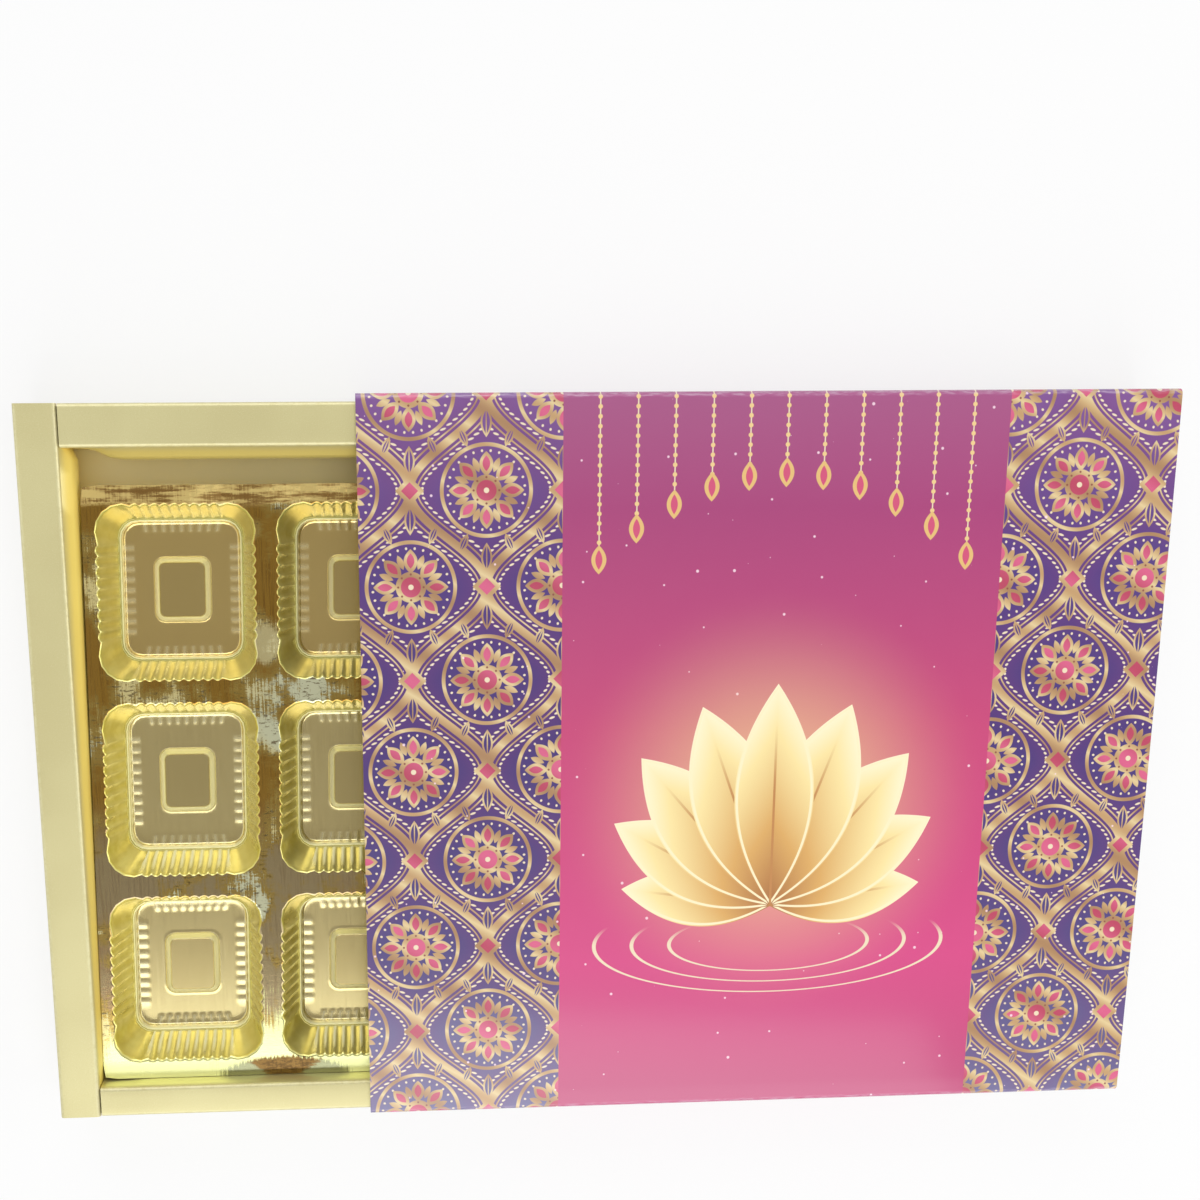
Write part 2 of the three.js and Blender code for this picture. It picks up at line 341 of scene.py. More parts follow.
printForm = {  # millimetres on the flat blank: u along the slide, v across it from the top panel's middle
    "bandMiddle": 3.2,
    "bandHalf": 50.2,
    "panelHalf": 83.9,
    # band and side inks turn paler and greyer towards the panel's edges: part printed tone, part painted
    # reflection haze of the gloss
    "bandInksAndHaze": [(0.0, ink(190, 60, 116)), (0.22, ink(216, 62, 132)), (0.55, ink(202, 58, 118)),
                 (0.85, ink(170, 52, 120)), (1.0, ink(168, 80, 134))],
    "sideInksAndHaze": [(0.0, ink(104, 98, 146)), (0.25, ink(74, 58, 126)), (0.55, ink(64, 38, 120)),
                 (0.8, ink(80, 46, 130)), (1.0, ink(128, 78, 150))],
    "goldInks": [(0.0, ink(172, 130, 88)), (0.35, ink(206, 170, 118)), (0.7, ink(228, 204, 152)),
                 (1.0, ink(196, 156, 106))],
    "pinkInks": [(0.0, ink(188, 58, 92)), (1.0, ink(220, 92, 136))],
    "paleInk": ink(240, 222, 190),
    "shineWaves": (0.24, 0.41),  # how fast gold and pink go from dark to light, along u and v
    "sparkleInk": ink(255, 226, 240),
    "sparkleReach": 0.34,  # radius of the largest
    "bandSparkles": (9.0, 0.5),  # spacing, and the share of places that have one
    "sideSparkles": (7.0, 0.25),
    "foldRub": (1.15, 0.35),  # distance from a fold where rubbing starts, and where it is full
    "rubbedInk": ink(226, 208, 226),
    "wearSize": 1.4,
    "fibreSize": 0.35,
    "filmSize": 5.0,  # waves in the laminate
    "reliefDepth": 0.02 * mm,  # in metres
}
latticeForm = {
    "width": 34.0,
    "height": 42.0,
    "line": 0.9,
    "shadeReach": 9.0,
    "shadeInk": ink(120, 44, 120),
    "fineLine": (1.7, 0.17),  # distance from the lattice, half width
    "dots": (2.75, 1.05, 0.32),  # distance from the lattice, spacing, radius
    # lean in radians, middle, half length, half width
    "sprigs": [(0, 14.6, 3.2, 1.25), (0.42, 12.6, 2.3, 0.9)],
    "sprigRim": 0.42,
    "sprigVein": 0.13,
    "halo": (9.9, 0.42),  # radius, half width
    "haloBeads": (28, 1.35, 0.3),  # number, distance inside the halo, radius
    "petals": 8,
    "leaf": (5.9, 1.7, 0.7),  # distance of its middle from the eye, half length, half width
    "petal": (5.7, 2.7, 1.55),
    "petalHeart": (5.8, 1.7, 0.85),
    "eye": (3.4, 2.25, 0.6),  # gold, pink and pale discs
    "eyeBeads": (2.85, 0.24),  # distance from the middle, radius
    "eyeBeadInk": ink(140, 74, 60),
    "diamond": (3.2, 1.9),  # gold, pink
}
lotusForm = {
    "base": -34.0,
    # degrees from upright, length, half width
    "petals": [(82, 36, 7.0), (61, 43, 8.6), (41, 48, 9.8), (20, 51, 10.2), (0, 53, 9.4)],
    "petalInks": [(0.05, ink(176, 112, 52)), (0.4, ink(222, 170, 92)), (0.8, ink(250, 228, 160)),
                  (1.0, ink(255, 244, 206))],
    "edgeTone": 0.03,  # lighter away from the vein
    "rim": (0.55, 0.3),  # distance inside the edge, half width
    "rimInk": ink(255, 240, 196),
    "vein": 0.28,
    "veinEnds": (0.85, 0.5),  # share of the length where a vein ends, and where it is full
    "veinInk": ink(196, 134, 70),
    "glowHeight": 24.0,
    "glowReach": (52.0, 4.0),
    "glowInk": ink(255, 230, 150),
    "ripples": (24, 33, 42),
    "rippleDrop": 9.0,  # their middle below the base
    "rippleSquash": 3.4,
    "rippleLine": 0.45,
    "rippleEnds": (-4.0, -9.0),
}
stringForm = {
    "gap": 8.4,
    "eachSide": 5,
    "middleLength": 15.0,
    "growth": 0.75,  # added length, times the square of a string's number
    "line": 0.14,
    "beads": (2.1, 0.5),  # spacing, radius
    "beadHighlightInk": ink(240, 206, 140),
    "pendant": (2.6, 3.2, 1.7),  # middle below the string, half length, half width
    "pendantRim": 0.9,
    "pendantInks": (ink(232, 190, 116), ink(214, 74, 120)),  # rim, inside
}


def lens(across, along, middle, halfLength, halfWidth):  # below 0 inside a petal with pointed ends
    share = (along - middle) / halfLength
    return across - halfWidth * (1 - share * share)


def latticePrint(outward, v, ground, gold, pink):
    form = latticeForm
    halfWidth, halfHeight = form["width"] / 2, form["height"] / 2
    x = fold(outward, halfWidth)
    y = fold(v, halfHeight)
    turn = v * (math.pi / halfHeight)
    curve = (turn.maths("COSINE", turn) + 1) * (halfWidth / 2)
    slope = turn.maths("SINE", turn) * (halfWidth / 2 * math.pi / halfHeight)
    steep = slope * slope + 1
    side = abs(x - curve) / steep.maths("SQRT", steep)
    inCell = x < curve
    across = x * inCell + (halfWidth - x) * (1 - inCell)
    along = y * inCell + (halfHeight - y) * (1 - inCell)
    colour = layInk(ease(side, form["shadeReach"], 0) * 0.35, ground, form["shadeInk"])
    colour = layInk(within(side - form["line"]), colour, gold)
    away, half = form["fineLine"]
    colour = layInk(within(abs(side - away) - half), colour, gold)
    away, spacing, radius = form["dots"]
    dots = reach(side - away, fold(v, spacing) - spacing / 2)
    colour = layInk(within(dots - radius), colour, printForm["paleInk"])
    colour = sprigPrint(across, along, ground, gold, colour)
    colour = flowerPrint(across, along, gold, pink, colour)
    crossing = least(x + (halfHeight - y), (halfWidth - x) + y)  # a diamond where two curves meet
    for size, tone in zip(form["diamond"], (gold, pink)):
        colour = layInk(within(crossing - size), colour, tone)
    return colour


def sprigPrint(across, along, ground, gold, colour):  # three leaves above and below a flower
    form = latticeForm
    for lean, middle, halfLength, halfWidth in form["sprigs"]:
        c, s = math.cos(lean), math.sin(lean)
        leafAlong = across * s + along * c
        leafAcross = abs(across * c - along * s)
        edge = lens(leafAcross, leafAlong, middle, halfLength, halfWidth)
        colour = layInk(within(edge), colour, gold)
        colour = layInk(within(edge + form["sprigRim"]), colour, ground)
        colour = layInk(within(leafAcross - form["sprigVein"]) * within(edge), colour, gold)
    return colour


def flowerPrint(across, along, gold, pink, colour):  # a halo, then pointed petals and leaves round an eye
    form = latticeForm
    pale = printForm["paleInk"]
    distance = reach(across, along)
    angle = across.maths("ARCTAN2", across, along)
    halo, half = form["halo"]
    colour = layInk(within(abs(distance - halo) - half), colour, gold)
    count, inset, radius = form["haloBeads"]
    beadTurn = math.pi / count - fold(angle, math.pi / count)
    beads = reach(distance - halo + inset, beadTurn * halo)
    colour = layInk(within(beads - radius), colour, pale)
    petalTurn = fold(angle, math.pi / form["petals"])
    leafTurn = math.pi / form["petals"] - petalTurn
    rays = (("leaf", leafTurn, gold), ("petal", petalTurn, gold), ("petalHeart", petalTurn, pink))
    for name, turn, tone in rays:
        rayAlong = distance * turn.maths("COSINE", turn)
        rayAcross = distance * turn.maths("SINE", turn)
        colour = layInk(within(lens(rayAcross, rayAlong, *form[name])), colour, tone)
    goldDisc, pinkDisc, paleDisc = form["eye"]
    colour = layInk(within(distance - goldDisc), colour, gold)
    away, radius = form["eyeBeads"]
    beads = reach(distance - away, distance * petalTurn.maths("SINE", petalTurn))
    colour = layInk(within(beads - radius), colour, form["eyeBeadInk"])
    colour = layInk(within(distance - pinkDisc), colour, pink)
    return layInk(within(distance - paleDisc), colour, pale)


def lotusPrint(u, v, colour):
    form = lotusForm
    x = abs(u - printForm["bandMiddle"])
    y = v - form["base"]
    glow = ease(reach(x, y - form["glowHeight"]), *form["glowReach"])
    colour = layInk(glow * 0.5, colour, form["glowInk"])
    ripple = reach(x, (y + form["rippleDrop"]) * form["rippleSquash"])
    for size in form["ripples"]:
        line = within(abs(ripple - size) - form["rippleLine"]) * ease(y, *form["rippleEnds"])
        colour = layInk(line, colour, printForm["paleInk"])
    rimInset, rimHalf = form["rim"]
    veinEnd, veinFull = form["veinEnds"]
    for degrees, length, halfWidth in form["petals"]:
        c, s = math.cos(math.radians(degrees)), math.sin(math.radians(degrees))
        along = x * s + y * c
        across = abs(x * c - y * s)
        edge = lens(across, along, length / 2, length / 2, halfWidth)
        tone = along / length + across * form["edgeTone"]
        colour = layInk(within(edge), colour, ramp(tone, form["petalInks"]))
        colour = layInk(within(abs(edge + rimInset) - rimHalf), colour, form["rimInk"])
        vein = within(across - form["vein"]) * ease(along, length * veinEnd, length * veinFull) * within(edge)
        colour = layInk(vein, colour, form["veinInk"])
    return colour


def stringPrint(u, v, colour):  # beads that hang from the top edge
    form = stringForm
    gap = form["gap"]
    shifted = (u - printForm["bandMiddle"]) / gap + 0.5
    number = shifted.maths("FLOOR", shifted)
    across = (shifted - number - 0.5) * gap
    drop = printForm["panelHalf"] - v
    length = number * number * form["growth"] + form["middleLength"]
    onBand = within(abs(number) - form["eachSide"] - 0.5, 0.01)
    hanging = within(drop - length)
    colour = layInk(within(abs(across) - form["line"]) * hanging * onBand, colour, printForm["paleInk"])
    spacing, radius = form["beads"]
    beads = reach(across, fold(drop, spacing) - spacing / 2) - radius
    colour = layInk(within(beads) * hanging * onBand, colour, form["beadHighlightInk"])
    pendant = lens(abs(across), drop - length, *form["pendant"])
    rimInk, insideInk = form["pendantInks"]
    colour = layInk(within(pendant) * onBand, colour, rimInk)
    return layInk(within(pendant + form["pendantRim"]) * onBand, colour, insideInk)


def sparklePrint(place, colour, spacing, share):  # fine light dots
    form = printForm
    inputs = {"Vector": place, "Scale": 1 / spacing, "Randomness": 1.0}
    spots = place.node("ShaderNodeTexVoronoi", {"voronoi_dimensions": "2D"}, inputs)
    chance = spots.node("ShaderNodeSeparateColor", {}, {0: spots.other("Color")})
    spot = within(spots * spacing - chance.other("Green") * form["sparkleReach"], 0.1) * (chance < share)
    return layInk(spot * 0.8, colour, form["sparkleInk"])


def printedBoard(folds):
    form = printForm
    material, root, shader = newSurface("printedBoard")
    flat = blankOf(root)
    u = flat.node("ShaderNodeSeparateXYZ", {}, {0: flat}, "X")
    v = u.other("Y")
    outward = abs(u - form["bandMiddle"]) - form["bandHalf"]
    climb = v / (2 * form["panelHalf"]) + 0.5
    alongU, alongV = form["shineWaves"]
    wave = u * alongU + v * alongV
    shine = wave.maths("SINE", wave) * 0.5 + 0.5
    gold = ramp(shine, form["goldInks"])
    pink = ramp(shine, form["pinkInks"])
    side = latticePrint(outward, v, ramp(climb, form["sideInksAndHaze"]), gold, pink)
    side = sparklePrint(flat, side, *form["sideSparkles"])
    band = sparklePrint(flat, ramp(climb, form["bandInksAndHaze"]), *form["bandSparkles"])
    band = stringPrint(u, v, lotusPrint(u, v, band))
    colour = layInk(within(outward), side, band)
    # folds are rubbed paler, in broken streaks
    wear = grain(stretched(flat, (0.5, 2.5, 1)), form["wearSize"], 3.0)
    crease = None
    for place in folds:
        line = ease(abs(v - place), *form["foldRub"])
        crease = line if crease is None else most(crease, line)
    rubbed = crease * ease(wear, 0.38, 0.7)
    colour = layInk(rubbed * 0.4, colour, form["rubbedInk"])
    fibres = grain(flat, form["fibreSize"], 3.0)
    film = grain(flat, form["filmSize"], 2.0)
    root.feed(shader, {
        "Base Color": colour,
        "Roughness": 0.3 + rubbed * 0.25 + film * 0.08,
        "Coat Weight": 1 - rubbed * 0.6,
        "Coat Roughness": 0.1,
        "Normal": relief(fibres * 0.35 + film * 0.65, form["reliefDepth"], 0.5),
    })
    return material


liningForm = {  # sizes of lumps in millimetres
    "inks": (ink(206, 202, 194), ink(226, 223, 215)),
    "fleckInk": ink(150, 142, 132),
    "fibreSize": 0.7,
    "fleckSize": 0.9,
    "reliefDepth": 0.03 * mm,  # in metres
}
cutForm = {
    "inks": (ink(216, 208, 198), ink(240, 236, 228)),
    "plySize": 0.8,
    "reliefDepth": 0.04 * mm,  # in metres
}


def boardLining():  # grey inner side of the board
    form = liningForm
    material, root, shader = newSurface("boardLining")
    place = placeOf(root)
    fibres = grain(stretched(place, (0.6, 1.6, 1)), form["fibreSize"], 4.0, 0.65)
    flecks = ease(grain(place, form["fleckSize"], 2.0), 0.68, 0.74)
    colour = layInk(fibres, *form["inks"])
    root.feed(shader, {
        "Base Color": layInk(flecks * 0.5, colour, form["fleckInk"]),
        "Roughness": 0.75 + fibres * 0.2,
        "Normal": relief(fibres, form["reliefDepth"], 0.6),
    })
    return material


def boardCut():  # cut edges with their plies
    form = cutForm
    material, root, shader = newSurface("boardCut")
    place = placeOf(root)
    plies = grain(stretched(place, (0.5, 0.5, 5)), form["plySize"], 3.0)
    root.feed(shader, {
        "Base Color": layInk(plies, *form["inks"]),
        "Roughness": 0.8 + plies * 0.15,
        "Normal": relief(plies, form["reliefDepth"], 0.7),
    })
    return material


# Tray

trayForm = {
    "board": 0.6 * mm,
    "foldRadius": 0.9 * mm,
    "cornerSlit": 0.3 * mm,
    "tuckTab": 18 * mm,
    "frontRim": 7.2 * mm,
    "rim": 9.4 * mm,
    "bows": (0.15 * mm, 0.08 * mm),  # outer panel, rim
    "bulgeRise": 0.6,  # below 1 brings the inner panel's fullest place nearer to the rim
    "bulgeEnds": (0.94, 0.86),  # share of the half length where a bulge ends, and where it is full
    "panelStep": 2 * mm,
    "lengthStep": 3 * mm,
    "foldSteps": 7,
    "floorPoints": (26, 24),  # along X and along Y
}
wallForms = {  # tabs tuck into the end walls; bulge is the inner panel's, at its two ends; the inner panel's ink is painted light, the yellow that the gold insert throws on it, paler on the front wall to lift its shade
    "long_wall_front": {
        "inward": (0, 1), "rim": trayForm["frontRim"], "tabs": True,
        "bulge": (0.3 * mm, 0.3 * mm), "innerPaintedLightInk": ink(255, 250, 190), "innerShine": 0.8,
    },
    "long_wall_back": {
        "inward": (0, -1), "rim": trayForm["rim"], "tabs": True,
        "bulge": (2.5 * mm, 2.5 * mm), "innerPaintedLightInk": ink(226, 204, 114), "innerShine": 0.0,
    },
    "end_wall_left": {
        "inward": (1, 0), "rim": trayForm["rim"], "tabs": False,
        "bulge": (0.3 * mm, 3.1 * mm), "innerPaintedLightInk": ink(255, 228, 118), "innerShine": 0.0,
    },
    "end_wall_right": {
        "inward": (-1, 0), "rim": trayForm["rim"], "tabs": False,
        "bulge": (0.3 * mm, 3.1 * mm), "innerPaintedLightInk": ink(255, 228, 118), "innerShine": 0.0,
    },
}
outerPanel, innerPanel = 0, 2  # a wall's panels, with the rim between them


def wallBow(wall, panel, share, aside):  # how far a panel stands out; aside runs from -1 to 1 along the wall
    form = trayForm
    if panel == onFold:
        return 0
    if panel != innerPanel:
        return form["bows"][panel] * arch(share) * max(0, 1 - aside * aside)
    end, full = form["bulgeEnds"]
    inside = min(1, max(0, (end - abs(aside)) / (end - full)))
    first, last = wall["bulge"]
    size = first + (last - first) * (aside + 1) / 2
    return size * math.sin(math.pi * share ** form["bulgeRise"]) * inside * inside * (3 - 2 * inside)


def makeWall(node, materials):
    form = trayForm
    wall = wallForms[node]
    radius = form["foldRadius"]
    low, high = (np.array(corner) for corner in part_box(node))
    trayLow, trayHigh = (np.array(corner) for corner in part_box("tray_floor"))
    inward = np.array((*wall["inward"], 0), float)
    along = np.cross(inward, (0, 0, 1))
    up = np.array((0, 0, 1.0))
    half = abs(np.dot(high - low, along)) / 2
    height = high[2] - low[2]
    foot = (low + high) / 2
    facing = np.abs(inward) > 0
    foot[facing] = np.where(inward > 0, low, high)[facing]  # middle of the outer face
    foot[2] = 0
    profile = foldedLine((0, low[2]), (0, 1), (height, wall["rim"], height), radius)
    rows = stations(profile, form["panelStep"], form["foldSteps"])
    if wall["tabs"]:  # the outer panel runs on and turns a tab into each end wall
        tab = form["tuckTab"]
        short = abs(np.dot(trayHigh - trayLow, along)) / 2 - form["rim"] - form["cornerSlit"]
        plan = foldedLine((half, tab), (0, -1), (tab, 2 * half, tab), radius)
    else:  # the inner panel stops short of the long walls
        short = half - form["board"] - form["cornerSlit"]
        plan = foldedLine((half, 0), (-1, 0), (2 * half,), radius)
    middle = plan[-1]["to"] / 2
    columns = stations(plan, form["lengthStep"], form["foldSteps"], (middle - short, middle + short))[::-1]
    outer = np.zeros((len(rows), len(columns), 3))
    outward = np.zeros_like(outer)
    blank = np.zeros_like(outer)
    for row, mark in enumerate(rows):
        (d, z), (nd, nz), panel, share = alongLine(profile, radius, mark)
        for column, place in enumerate(columns):
            (a, planDepth), (na, nPlan), _, _ = alongLine(plan, radius, place)
            beyond = abs(place - middle) > short + tiny
            if panel == outerPanel and beyond:
                outer[row, column] = foot + along * a + inward * planDepth + up * z
                outward[row, column] = along * na + inward * nPlan
            else:
                bow = wallBow(wall, panel, share, (place - middle) / short)
                outward[row, column] = inward * nd + up * nz
                outer[row, column] = foot + along * (middle - place) + inward * d + up * z
                outer[row, column] += outward[row, column] * bow
            blank[row, column] = (place, mark, 0)
    present = np.ones((len(rows) - 1, len(columns) - 1), bool)
    for row in range(len(rows) - 1):
        panel = alongLine(profile, radius, (rows[row] + rows[row + 1]) / 2)[2]
        stopsShort = panel != outerPanel if wall["tabs"] else panel == innerPanel
        for column in range(len(columns) - 1):
            beyond = abs((columns[column] + columns[column + 1]) / 2 - middle) > short
            present[row, column] = not (beyond and stopsShort)
    piece = boardPiece(node + "_board", outer, outward, present, blank, form["board"])
    dress(piece, materials, "tray", node)


def makeFloor(materials):
    form = trayForm
    low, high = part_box("tray_floor")
    pointsX, pointsY = form["floorPoints"]
    lengthwise = np.linspace(low.x, high.x, pointsX)
    across = np.linspace(low.y, high.y, pointsY)
    outer = np.zeros((pointsY, pointsX, 3))
    outer[:, :, 0] = lengthwise[None, :]
    outer[:, :, 1] = across[:, None]
    outer[:, :, 2] = high.z
    outward = np.zeros_like(outer)
    outward[:, :, 2] = 1
    present = np.ones((pointsY - 1, pointsX - 1), bool)
    piece = boardPiece("tray_floor_board", outer, outward, present, outer.copy(), form["board"])
    dress(piece, materials, "tray", "tray_floor")


pearlForm = {
    "inks": (ink(208, 199, 146), ink(215, 207, 154)),
    "flakeInk": ink(232, 226, 184),
    "betweenInk": ink(188, 176, 122),  # between the bright flakes
    # the tray floor is painted paler and yellower: painted light that lifts the shade in the deep gap behind
    # the insert
    "floorInk": ink(255, 238, 168),
    "floorLightShare": 0.9,
    "creaseWearAndHighlightInk": ink(244, 240, 206),
    "creaseReach": (0.8, 0.3),  # millimetres from a fold where rubbed wear and a painted highlight start, and where they are full
    "innerStart": 2.0,  # millimetres over which the inner panel's painted light sets in
    "wallShine": 0.3,
    "cloudSize": 26.0,  # sizes of lumps in millimetres
    "flakeSize": 0.22,
    "fibreSize": 1.1,
    "reliefDepth": 0.02 * mm,  # in metres
}


def pearlBoard(wall=None, folds=()):  # board of a wall with its two folds, or else of the floor
    form = pearlForm
    material, root, shader = newSurface("pearlBoard")
    place = placeOf(root)
    cloud = grain(place, form["cloudSize"], 2.0)
    flake = grain(place, form["flakeSize"], 1.0)
    fibres = grain(place, form["fibreSize"], 4.0, 0.6)
    colour = layInk(ease(cloud, 0.3, 0.7), *form["inks"])
    colour = layInk(ease(flake, 0.55, 0.8) * 0.35, colour, form["flakeInk"])
    colour = layInk(ease(flake, 0.42, 0.2) * 0.25, colour, form["betweenInk"])
    if wall:
        flat = blankOf(root)
        v = flat.node("ShaderNodeSeparateXYZ", {}, {0: flat}, "Y")
        crease = most(*(ease(abs(v - place), *form["creaseReach"]) for place in folds))
        inner = ease(v, folds[1], folds[1] + form["innerStart"])
        # painted light: the inner panel takes the yellow that the gold insert throws on it
        colour = layInk(inner * 0.95, colour, wall["innerPaintedLightInk"])
        # paler along the folds: partly rubbed wear, partly a painted highlight on the fold
        colour = layInk(crease * ease(fibres, 0.3, 0.6) * 0.25, colour, form["creaseWearAndHighlightInk"])
        shine = inner * (wall["innerShine"] - form["wallShine"]) + form["wallShine"]
    else:
        # painted light: the floor is mostly the paler floor ink
        mix = {0: form["floorLightShare"], 6: colour, 7: form["floorInk"]}
        colour = root.node("ShaderNodeMix", {"data_type": "RGBA"}, mix, 2)
        shine = 0.0
    root.feed(shader, {
        "Base Color": colour,
        "Metallic": shine,
        "Roughness": 0.32 + fibres * 0.14,
        "Normal": relief(fibres * 0.6 + flake * 0.4, form["reliefDepth"], 0.5),
    })
    return material


def makeTray():
    form = trayForm
    low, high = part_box("long_wall_front")
    arc = form["foldRadius"] * math.pi / 2
    firstFold = high.z - low.z - form["foldRadius"] + arc / 2
    lining, cut = boardLining(), boardCut()
    for node, wall in wallForms.items():
        secondFold = firstFold + wall["rim"] - 2 * form["foldRadius"] + arc
        pearl = pearlBoard(wall, (firstFold / mm, secondFold / mm))
        makeWall(node, [pearl, lining, cut])
    pearl = pearlBoard()
    makeFloor([pearl, pearl, cut])


# Formed insert

insertForm = {
    "columns": 4,
    "rows": 3,
    "cellLength": 35.4 * mm,
    "cellWidth": 40.6 * mm,
    "gapX": 5.0 * mm,
    "gapY": 5.4 * mm,
    "cornerRadius": 6.0 * mm,
    "flutes": 9,
    "fluteDepth": 0.65 * mm,
    "fluteRuns": (9.9 * mm, 11.2 * mm),  # half of the fluted length along X and along Y
    "runLimit": 0.98,  # share of a straight side that flutes may take
    "fluteSteps": 6,
    "cornerSteps": 4,
    "bossLength": 13.0 * mm,
    "bossWidth": 15.4 * mm,
    "sheet": 0.5 * mm,
    "flangeRadius": 1.5 * mm,
    "lean": 0.0205,  # the sheet lies a little askew in the tray: X gained along Y
    "backRow": 21 * mm,  # from here on the sheet is drawn together a little along Y
    "squeeze": 0.031,
    # share of painted highlight on top of the floor ribs
    "ribHighlight": 0.3,
    "weld": 0.002 * mm,
    "sharpAngle": math.radians(62),
}

# inset from the mouth, corner radius, depth, flute share, then how far a rib stands in and up; in millimetres
cellProfile = [
    (-0.5, 6.45, 0.0, 0.6, 0, 0),
    (-0.25, 6.25, 0.0, 0.9, 0, 0),
    (0.1, 5.95, 0.35, 1.0, 0, 0),
    (0.3, 5.9, 1.0, 1.0, 0, 0),
    (1.2, 5.5, 4.0, 0.7, 0, 0),
    (2.2, 5.1, 7.3, 0.55, 0, 0),
    (3.2, 4.6, 10.3, 0.45, 0, 0),
    (3.42, 4.4, 11.05, 0.2, 0, 0),
    (3.56, 4.3, 11.24, 0, 0, 0),
    (3.68, 4.2, 11.2, 0, 0, 0),
    (3.8, 4.1, 11.08, 0, 0, 0),
    (3.98, 3.95, 11.1, 0, 0, 0),
    (4.1, 3.85, 11.3, 0, 0, 0),
    (4.18, 3.75, 11.8, 0, 0, 0),
    (4.32, 3.6, 13.1, 0, 0.05, 0.02),
    (4.55, 3.4, 13.42, 0, 0.1, 0.07),
    (5.0, 3.0, 13.49, 0, 0.06, 0.11),
    (5.8, 2.4, 13.5, 0, 0, 0.12),
    (6.5, 1.8, 13.5, 0, 0, 0.1),
    (6.95, 1.4, 13.5, 0, 0, 0),
    (7.5, 0.9, 13.5, 0, 0, 0),
]
bossProfile = [  # inset from the boss outline, corner radius, depth; in millimetres
    (-0.9, 2.9, 13.5),
    (-0.3, 2.4, 13.5),
    (0.0, 2.25, 13.42),
    (0.25, 2.1, 13.1),
    (1.05, 1.6, 12.25),
    (1.3, 1.4, 12.1),
]
# hidden side of a cell and its boss, in the same terms
underProfile = [(-0.7, 6.6, 0.5), (2.55, 4.9, 10.6), (3.55, 3.9, 11.75), (3.7, 3.7, 14.0)]
underBoss = [(0.6, 1.8, 14.0), (1.5, 1.2, 12.6)]
brightRings = {13: 1.0, 14: 1.0, 15: 0.3, 24: 0.25, 25: 0.7, 26: 0.7}  # painted highlight shares, below the bead and round the boss


def cellOutline(halfX, halfY, radius):  # points round a cell from its right side, and which way they face
    form = insertForm
    marks = np.linspace(0, 1, form["flutes"] * form["fluteSteps"] + 1)
    points = []
    outward = []
    for quarter in range(4):
        across, along = (halfX, halfY) if quarter % 2 == 0 else (halfY, halfX)
        straight = along - radius
        run = min(form["fluteRuns"][1 - quarter % 2], form["runLimit"] * straight)
        side = [(across, run * (2 * mark - 1)) for mark in marks]
        facing = [(1.0, 0.0)] * len(marks)
        for step in range(form["cornerSteps"] + 1):
            angle = step / form["cornerSteps"] * math.pi / 2
            c, s = math.cos(angle), math.sin(angle)
            side.append((across - radius + radius * c, straight + radius * s))
            facing.append((c, s))
        turn = quarter * math.pi / 2
        spin = np.array(((math.cos(turn), math.sin(turn)), (-math.sin(turn), math.cos(turn))))
        points.append(np.array(side) @ spin)
        outward.append(np.array(facing) @ spin)
    return np.concatenate(points), np.concatenate(outward)


def fluteShape():  # for each point round a cell: 1 on a cusp between flutes, and 1 on top of a floor rib
    form = insertForm
    turns = np.arange(form["flutes"] * form["fluteSteps"] + 1) / form["fluteSteps"]
    cusp = 1 - np.abs(np.sin(math.pi * turns))
    rib = 0.5 - 0.5 * np.cos(2 * math.pi * turns)
    corner = np.zeros(form["cornerSteps"] + 1)
    return np.tile(np.concatenate([cusp, corner]), 4), np.tile(np.concatenate([rib, corner]), 4)


def tileOutline(left, right, bottom, top):  # the same points spread round the tile that a cell sits in
    form = insertForm
    halfX, halfY = form["cellLength"] / 2, form["cellWidth"] / 2
    points, _ = cellOutline(halfX, halfY, form["cornerRadius"])
    count = len(points) // 4
    sideCount = count - form["cornerSteps"] - 1
    half = form["cornerSteps"] // 2
    shares = points / (halfX, halfY)
    for quarter in range(4):  # each side lies on an edge of the tile, then goes round the corner ahead
        axis = (quarter + 1) % 2
        sign = (1, -1, -1, 1)[quarter]
        edgeAxis = quarter % 2
        edgeSign = (1, 1, -1, -1)[quarter]
        start = quarter * count
        last = shares[start + sideCount, axis]
        nextFirst = shares[start + count - 1, edgeAxis]
        shares[start:start + sideCount, edgeAxis] = edgeSign
        for step in range(form["cornerSteps"] + 1):
            spot = start + sideCount + step
            if step <= half:
                shares[spot, edgeAxis] = edgeSign
                shares[spot, axis] = last + (sign - last) * step / half
            else:
                shares[spot, axis] = sign
                shares[spot, edgeAxis] = edgeSign + (nextFirst - edgeSign) * (step - half) / half
    x = left + (shares[:, 0] + 1) / 2 * (right - left)
    y = bottom + (shares[:, 1] + 1) / 2 * (top - bottom)
    return np.stack([x, y], 1)


def plainRings(length, width, profile):  # rings without flutes about a cell's centre
    rings = []
    for inset, radius, depth in profile:
        points, _ = cellOutline(length / 2 - inset * mm, width / 2 - inset * mm, radius * mm)
        rings.append(np.column_stack([points, np.full(len(points), -depth * mm)]))
    return rings


